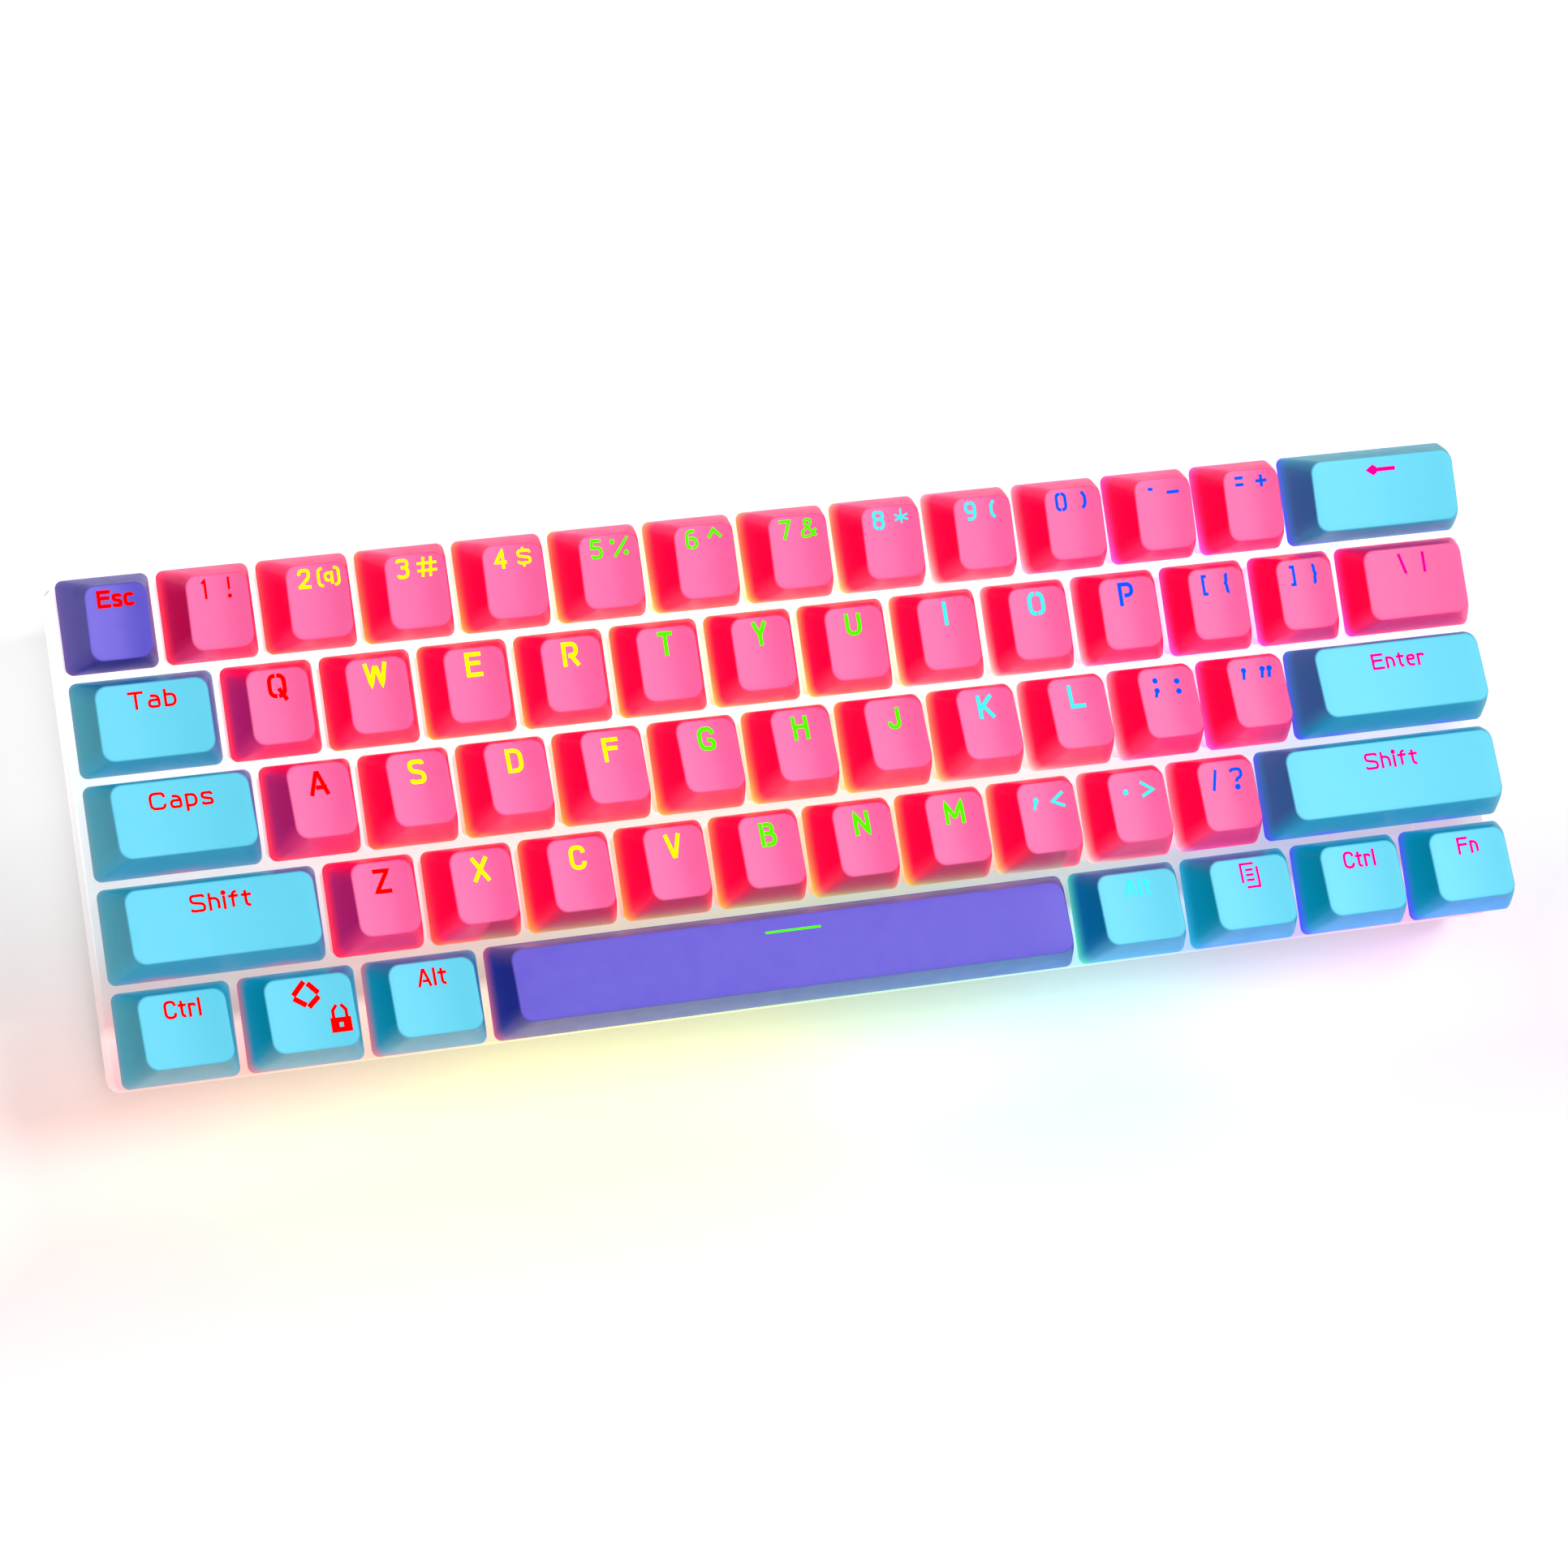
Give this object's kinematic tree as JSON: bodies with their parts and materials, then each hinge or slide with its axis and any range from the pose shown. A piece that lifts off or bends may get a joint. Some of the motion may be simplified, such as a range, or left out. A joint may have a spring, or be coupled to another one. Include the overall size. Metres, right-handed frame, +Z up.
{
  "type": "mechanical keyboard",
  "caption": "Compact mechanical keyboard: sprung sculpted keycaps on switches over a flat plate and a wedge-shaped base, with wire-levelled long keys and a rear data socket.",
  "frame": {"origin": "on the desk, under the middle of the keyboard's box", "axes": "+X to the typist's right along the rows, +Y away from the typist, +Z up"},
  "size_m": [0.2844, 0.0944, 0.0358],
  "materials": {
    "keycap_pink": "fine satin moulded plastic",
    "keycap_cyan": "fine satin moulded plastic",
    "keycap_violet": "fine satin moulded plastic",
    "legend_red": "translucent, lit from behind",
    "legend_yellow": "translucent, lit from behind",
    "legend_green": "translucent, lit from behind",
    "legend_cyan": "translucent, lit from behind",
    "legend_blue": "translucent, lit from behind",
    "legend_magenta": "translucent, lit from behind",
    "plate_white": "white powder coat",
    "base_white": "satin moulded plastic",
    "housing_clear": "milky translucent plastic",
    "board_white": "white solder mask",
    "lamp_white": "clear lens over a light",
    "wire_steel": "drawn steel wire",
    "port_steel": "plated steel",
    "spring_steel": "bright spring wire",
    "foot_rubber": "matte soft rubber"
  },
  "bodies": {
    "base": {"base_tray": "base_white", "switch_plate": "plate_white", "switch_housings": "housing_clear", "circuit_board": "board_white", "usb_port": "port_steel", "foot_strip_front": "foot_rubber", "foot_strip_rear": "foot_rubber"},
    "key_esc": {"key_esc": "keycap_violet"},
    "key_1": {"key_1": "keycap_pink"},
    "key_2": {"key_2": "keycap_pink"},
    "key_3": {"key_3": "keycap_pink"},
    "key_4": {"key_4": "keycap_pink"},
    "key_5": {"key_5": "keycap_pink"},
    "key_6": {"key_6": "keycap_pink"},
    "key_7": {"key_7": "keycap_pink"},
    "key_8": {"key_8": "keycap_pink"},
    "keys_nine_to_equals": {"keys_nine_to_equals": "keycap_pink"},
    "key_backspace": {"key_backspace": "keycap_cyan"},
    "key_tab": {"key_tab": "keycap_cyan"},
    "key_q": {"key_q": "keycap_pink"},
    "key_w": {"key_w": "keycap_pink"},
    "key_e": {"key_e": "keycap_pink"},
    "key_r": {"key_r": "keycap_pink"},
    "key_t": {"key_t": "keycap_pink"},
    "key_y": {"key_y": "keycap_pink"},
    "key_u": {"key_u": "keycap_pink"},
    "key_i": {"key_i": "keycap_pink"},
    "key_o": {"key_o": "keycap_pink"},
    "key_p": {"key_p": "keycap_pink"},
    "keys_brackets": {"keys_brackets": "keycap_pink"},
    "key_caps_lock": {"key_caps_lock": "keycap_cyan"},
    "key_a": {"key_a": "keycap_pink"},
    "key_s": {"key_s": "keycap_pink"},
    "key_d": {"key_d": "keycap_pink"},
    "key_f": {"key_f": "keycap_pink"},
    "key_g": {"key_g": "keycap_pink"},
    "key_h": {"key_h": "keycap_pink"},
    "key_j": {"key_j": "keycap_pink"},
    "key_k": {"key_k": "keycap_pink"},
    "key_l": {"key_l": "keycap_pink"},
    "keys_semicolon_quote": {"keys_semicolon_quote": "keycap_pink"},
    "key_enter": {"key_enter": "keycap_cyan"},
    "key_left_shift": {"key_left_shift": "keycap_cyan"},
    "key_z": {"key_z": "keycap_pink"},
    "key_x": {"key_x": "keycap_pink"},
    "key_c": {"key_c": "keycap_pink"},
    "key_v": {"key_v": "keycap_pink"},
    "key_b": {"key_b": "keycap_pink"},
    "key_n": {"key_n": "keycap_pink"},
    "key_m": {"key_m": "keycap_pink"},
    "keys_comma_to_slash": {"keys_comma_to_slash": "keycap_pink"},
    "key_right_shift": {"key_right_shift": "keycap_cyan"},
    "keys_left_modifiers": {"keys_left_modifiers": "keycap_cyan"},
    "key_space": {"key_space": "keycap_violet"},
    "keys_right_modifiers": {"keys_right_modifiers": "keycap_cyan"},
    "stabilizer_wire_backspace": {"stabilizer_wire_backspace": "wire_steel"},
    "stabilizer_wire_enter": {"stabilizer_wire_enter": "wire_steel"},
    "stabilizer_wire_left_shift": {"stabilizer_wire_left_shift": "wire_steel"},
    "stabilizer_wire_right_shift": {"stabilizer_wire_right_shift": "wire_steel"},
    "stabilizer_wire_space": {"stabilizer_wire_space": "wire_steel"}
  },
  "joints": [
    {"name": "press_esc", "type": "slide", "parent": "base", "child": "key_esc", "axis": [0, 0.0872, -0.9962], "range_m": [0, 0.004], "stiffness_N_per_m": 85, "springref_m": -0.0035},
    {"name": "press_1", "type": "slide", "parent": "base", "child": "key_1", "axis": [0, 0.0872, -0.9962], "range_m": [0, 0.004], "stiffness_N_per_m": 85, "springref_m": -0.0035},
    {"name": "press_2", "type": "slide", "parent": "base", "child": "key_2", "axis": [0, 0.0872, -0.9962], "range_m": [0, 0.004], "stiffness_N_per_m": 85, "springref_m": -0.0035},
    {"name": "press_3", "type": "slide", "parent": "base", "child": "key_3", "axis": [0, 0.0872, -0.9962], "range_m": [0, 0.004], "stiffness_N_per_m": 85, "springref_m": -0.0035},
    {"name": "press_4", "type": "slide", "parent": "base", "child": "key_4", "axis": [0, 0.0872, -0.9962], "range_m": [0, 0.004], "stiffness_N_per_m": 85, "springref_m": -0.0035},
    {"name": "press_5", "type": "slide", "parent": "base", "child": "key_5", "axis": [0, 0.0872, -0.9962], "range_m": [0, 0.004], "stiffness_N_per_m": 85, "springref_m": -0.0035},
    {"name": "press_6", "type": "slide", "parent": "base", "child": "key_6", "axis": [0, 0.0872, -0.9962], "range_m": [0, 0.004], "stiffness_N_per_m": 85, "springref_m": -0.0035},
    {"name": "press_7", "type": "slide", "parent": "base", "child": "key_7", "axis": [0, 0.0872, -0.9962], "range_m": [0, 0.004], "stiffness_N_per_m": 85, "springref_m": -0.0035},
    {"name": "press_8", "type": "slide", "parent": "base", "child": "key_8", "axis": [0, 0.0872, -0.9962], "range_m": [0, 0.004], "stiffness_N_per_m": 85, "springref_m": -0.0035},
    {"name": "press_nine_to_equals", "type": "slide", "parent": "base", "child": "keys_nine_to_equals", "axis": [0, 0.0872, -0.9962], "range_m": [0, 0.004], "stiffness_N_per_m": 340, "springref_m": -0.0035},
    {"name": "press_backspace", "type": "slide", "parent": "base", "child": "key_backspace", "axis": [0, 0.0872, -0.9962], "range_m": [0, 0.004], "stiffness_N_per_m": 85, "springref_m": -0.0035},
    {"name": "press_tab", "type": "slide", "parent": "base", "child": "key_tab", "axis": [0, 0.0872, -0.9962], "range_m": [0, 0.004], "stiffness_N_per_m": 85, "springref_m": -0.0035},
    {"name": "press_q", "type": "slide", "parent": "base", "child": "key_q", "axis": [0, 0.0872, -0.9962], "range_m": [0, 0.004], "stiffness_N_per_m": 85, "springref_m": -0.0035},
    {"name": "press_w", "type": "slide", "parent": "base", "child": "key_w", "axis": [0, 0.0872, -0.9962], "range_m": [0, 0.004], "stiffness_N_per_m": 85, "springref_m": -0.0035},
    {"name": "press_e", "type": "slide", "parent": "base", "child": "key_e", "axis": [0, 0.0872, -0.9962], "range_m": [0, 0.004], "stiffness_N_per_m": 85, "springref_m": -0.0035},
    {"name": "press_r", "type": "slide", "parent": "base", "child": "key_r", "axis": [0, 0.0872, -0.9962], "range_m": [0, 0.004], "stiffness_N_per_m": 85, "springref_m": -0.0035},
    {"name": "press_t", "type": "slide", "parent": "base", "child": "key_t", "axis": [0, 0.0872, -0.9962], "range_m": [0, 0.004], "stiffness_N_per_m": 85, "springref_m": -0.0035},
    {"name": "press_y", "type": "slide", "parent": "base", "child": "key_y", "axis": [0, 0.0872, -0.9962], "range_m": [0, 0.004], "stiffness_N_per_m": 85, "springref_m": -0.0035},
    {"name": "press_u", "type": "slide", "parent": "base", "child": "key_u", "axis": [0, 0.0872, -0.9962], "range_m": [0, 0.004], "stiffness_N_per_m": 85, "springref_m": -0.0035},
    {"name": "press_i", "type": "slide", "parent": "base", "child": "key_i", "axis": [0, 0.0872, -0.9962], "range_m": [0, 0.004], "stiffness_N_per_m": 85, "springref_m": -0.0035},
    {"name": "press_o", "type": "slide", "parent": "base", "child": "key_o", "axis": [0, 0.0872, -0.9962], "range_m": [0, 0.004], "stiffness_N_per_m": 85, "springref_m": -0.0035},
    {"name": "press_p", "type": "slide", "parent": "base", "child": "key_p", "axis": [0, 0.0872, -0.9962], "range_m": [0, 0.004], "stiffness_N_per_m": 85, "springref_m": -0.0035},
    {"name": "press_brackets", "type": "slide", "parent": "base", "child": "keys_brackets", "axis": [0, 0.0872, -0.9962], "range_m": [0, 0.004], "stiffness_N_per_m": 255, "springref_m": -0.0035},
    {"name": "press_caps_lock", "type": "slide", "parent": "base", "child": "key_caps_lock", "axis": [0, 0.0872, -0.9962], "range_m": [0, 0.004], "stiffness_N_per_m": 85, "springref_m": -0.0035},
    {"name": "press_a", "type": "slide", "parent": "base", "child": "key_a", "axis": [0, 0.0872, -0.9962], "range_m": [0, 0.004], "stiffness_N_per_m": 85, "springref_m": -0.0035},
    {"name": "press_s", "type": "slide", "parent": "base", "child": "key_s", "axis": [0, 0.0872, -0.9962], "range_m": [0, 0.004], "stiffness_N_per_m": 85, "springref_m": -0.0035},
    {"name": "press_d", "type": "slide", "parent": "base", "child": "key_d", "axis": [0, 0.0872, -0.9962], "range_m": [0, 0.004], "stiffness_N_per_m": 85, "springref_m": -0.0035},
    {"name": "press_f", "type": "slide", "parent": "base", "child": "key_f", "axis": [0, 0.0872, -0.9962], "range_m": [0, 0.004], "stiffness_N_per_m": 85, "springref_m": -0.0035},
    {"name": "press_g", "type": "slide", "parent": "base", "child": "key_g", "axis": [0, 0.0872, -0.9962], "range_m": [0, 0.004], "stiffness_N_per_m": 85, "springref_m": -0.0035},
    {"name": "press_h", "type": "slide", "parent": "base", "child": "key_h", "axis": [0, 0.0872, -0.9962], "range_m": [0, 0.004], "stiffness_N_per_m": 85, "springref_m": -0.0035},
    {"name": "press_j", "type": "slide", "parent": "base", "child": "key_j", "axis": [0, 0.0872, -0.9962], "range_m": [0, 0.004], "stiffness_N_per_m": 85, "springref_m": -0.0035},
    {"name": "press_k", "type": "slide", "parent": "base", "child": "key_k", "axis": [0, 0.0872, -0.9962], "range_m": [0, 0.004], "stiffness_N_per_m": 85, "springref_m": -0.0035},
    {"name": "press_l", "type": "slide", "parent": "base", "child": "key_l", "axis": [0, 0.0872, -0.9962], "range_m": [0, 0.004], "stiffness_N_per_m": 85, "springref_m": -0.0035},
    {"name": "press_semicolon_quote", "type": "slide", "parent": "base", "child": "keys_semicolon_quote", "axis": [0, 0.0872, -0.9962], "range_m": [0, 0.004], "stiffness_N_per_m": 170, "springref_m": -0.0035},
    {"name": "press_enter", "type": "slide", "parent": "base", "child": "key_enter", "axis": [0, 0.0872, -0.9962], "range_m": [0, 0.004], "stiffness_N_per_m": 85, "springref_m": -0.0035},
    {"name": "press_left_shift", "type": "slide", "parent": "base", "child": "key_left_shift", "axis": [0, 0.0872, -0.9962], "range_m": [0, 0.004], "stiffness_N_per_m": 85, "springref_m": -0.0035},
    {"name": "press_z", "type": "slide", "parent": "base", "child": "key_z", "axis": [0, 0.0872, -0.9962], "range_m": [0, 0.004], "stiffness_N_per_m": 85, "springref_m": -0.0035},
    {"name": "press_x", "type": "slide", "parent": "base", "child": "key_x", "axis": [0, 0.0872, -0.9962], "range_m": [0, 0.004], "stiffness_N_per_m": 85, "springref_m": -0.0035},
    {"name": "press_c", "type": "slide", "parent": "base", "child": "key_c", "axis": [0, 0.0872, -0.9962], "range_m": [0, 0.004], "stiffness_N_per_m": 85, "springref_m": -0.0035},
    {"name": "press_v", "type": "slide", "parent": "base", "child": "key_v", "axis": [0, 0.0872, -0.9962], "range_m": [0, 0.004], "stiffness_N_per_m": 85, "springref_m": -0.0035},
    {"name": "press_b", "type": "slide", "parent": "base", "child": "key_b", "axis": [0, 0.0872, -0.9962], "range_m": [0, 0.004], "stiffness_N_per_m": 85, "springref_m": -0.0035},
    {"name": "press_n", "type": "slide", "parent": "base", "child": "key_n", "axis": [0, 0.0872, -0.9962], "range_m": [0, 0.004], "stiffness_N_per_m": 85, "springref_m": -0.0035},
    {"name": "press_m", "type": "slide", "parent": "base", "child": "key_m", "axis": [0, 0.0872, -0.9962], "range_m": [0, 0.004], "stiffness_N_per_m": 85, "springref_m": -0.0035},
    {"name": "press_comma_to_slash", "type": "slide", "parent": "base", "child": "keys_comma_to_slash", "axis": [0, 0.0872, -0.9962], "range_m": [0, 0.004], "stiffness_N_per_m": 255, "springref_m": -0.0035},
    {"name": "press_right_shift", "type": "slide", "parent": "base", "child": "key_right_shift", "axis": [0, 0.0872, -0.9962], "range_m": [0, 0.004], "stiffness_N_per_m": 85, "springref_m": -0.0035},
    {"name": "press_left_modifiers", "type": "slide", "parent": "base", "child": "keys_left_modifiers", "axis": [0, 0.0872, -0.9962], "range_m": [0, 0.004], "stiffness_N_per_m": 255, "springref_m": -0.0035},
    {"name": "press_space", "type": "slide", "parent": "base", "child": "key_space", "axis": [0, 0.0872, -0.9962], "range_m": [0, 0.004], "stiffness_N_per_m": 85, "springref_m": -0.0035},
    {"name": "press_right_modifiers", "type": "slide", "parent": "base", "child": "keys_right_modifiers", "axis": [0, 0.0872, -0.9962], "range_m": [0, 0.004], "stiffness_N_per_m": 340, "springref_m": -0.0035},
    {"name": "turn_wire_backspace", "type": "hinge", "parent": "base", "child": "stabilizer_wire_backspace", "pos_m": [0.12383, 0.02982, 0.01609], "axis": [-1, 0, 0], "range_deg": [0, 26.5]},
    {"name": "turn_wire_enter", "type": "hinge", "parent": "base", "child": "stabilizer_wire_enter", "pos_m": [0.12144, -0.00814, 0.01277], "axis": [-1, 0, 0], "range_deg": [0, 26.5]},
    {"name": "turn_wire_left_shift", "type": "hinge", "parent": "base", "child": "stabilizer_wire_left_shift", "pos_m": [-0.12144, -0.02712, 0.01111], "axis": [-1, 0, 0], "range_deg": [0, 26.5]},
    {"name": "turn_wire_right_shift", "type": "hinge", "parent": "base", "child": "stabilizer_wire_right_shift", "pos_m": [0.11668, -0.02712, 0.01111], "axis": [-1, 0, 0], "range_deg": [0, 26.5]},
    {"name": "turn_wire_space", "type": "hinge", "parent": "base", "child": "stabilizer_wire_space", "pos_m": [-0.01191, -0.02916, 0.01093], "axis": [1, 0, 0], "range_deg": [0, 26.5]}
  ],
  "couplings": [
    {"joint": "turn_wire_backspace", "follows": "press_backspace", "rad_per_m": 115.14},
    {"joint": "turn_wire_enter", "follows": "press_enter", "rad_per_m": 115.14},
    {"joint": "turn_wire_left_shift", "follows": "press_left_shift", "rad_per_m": 115.14},
    {"joint": "turn_wire_right_shift", "follows": "press_right_shift", "rad_per_m": 115.14},
    {"joint": "turn_wire_space", "follows": "press_space", "rad_per_m": 115.14}
  ]
}
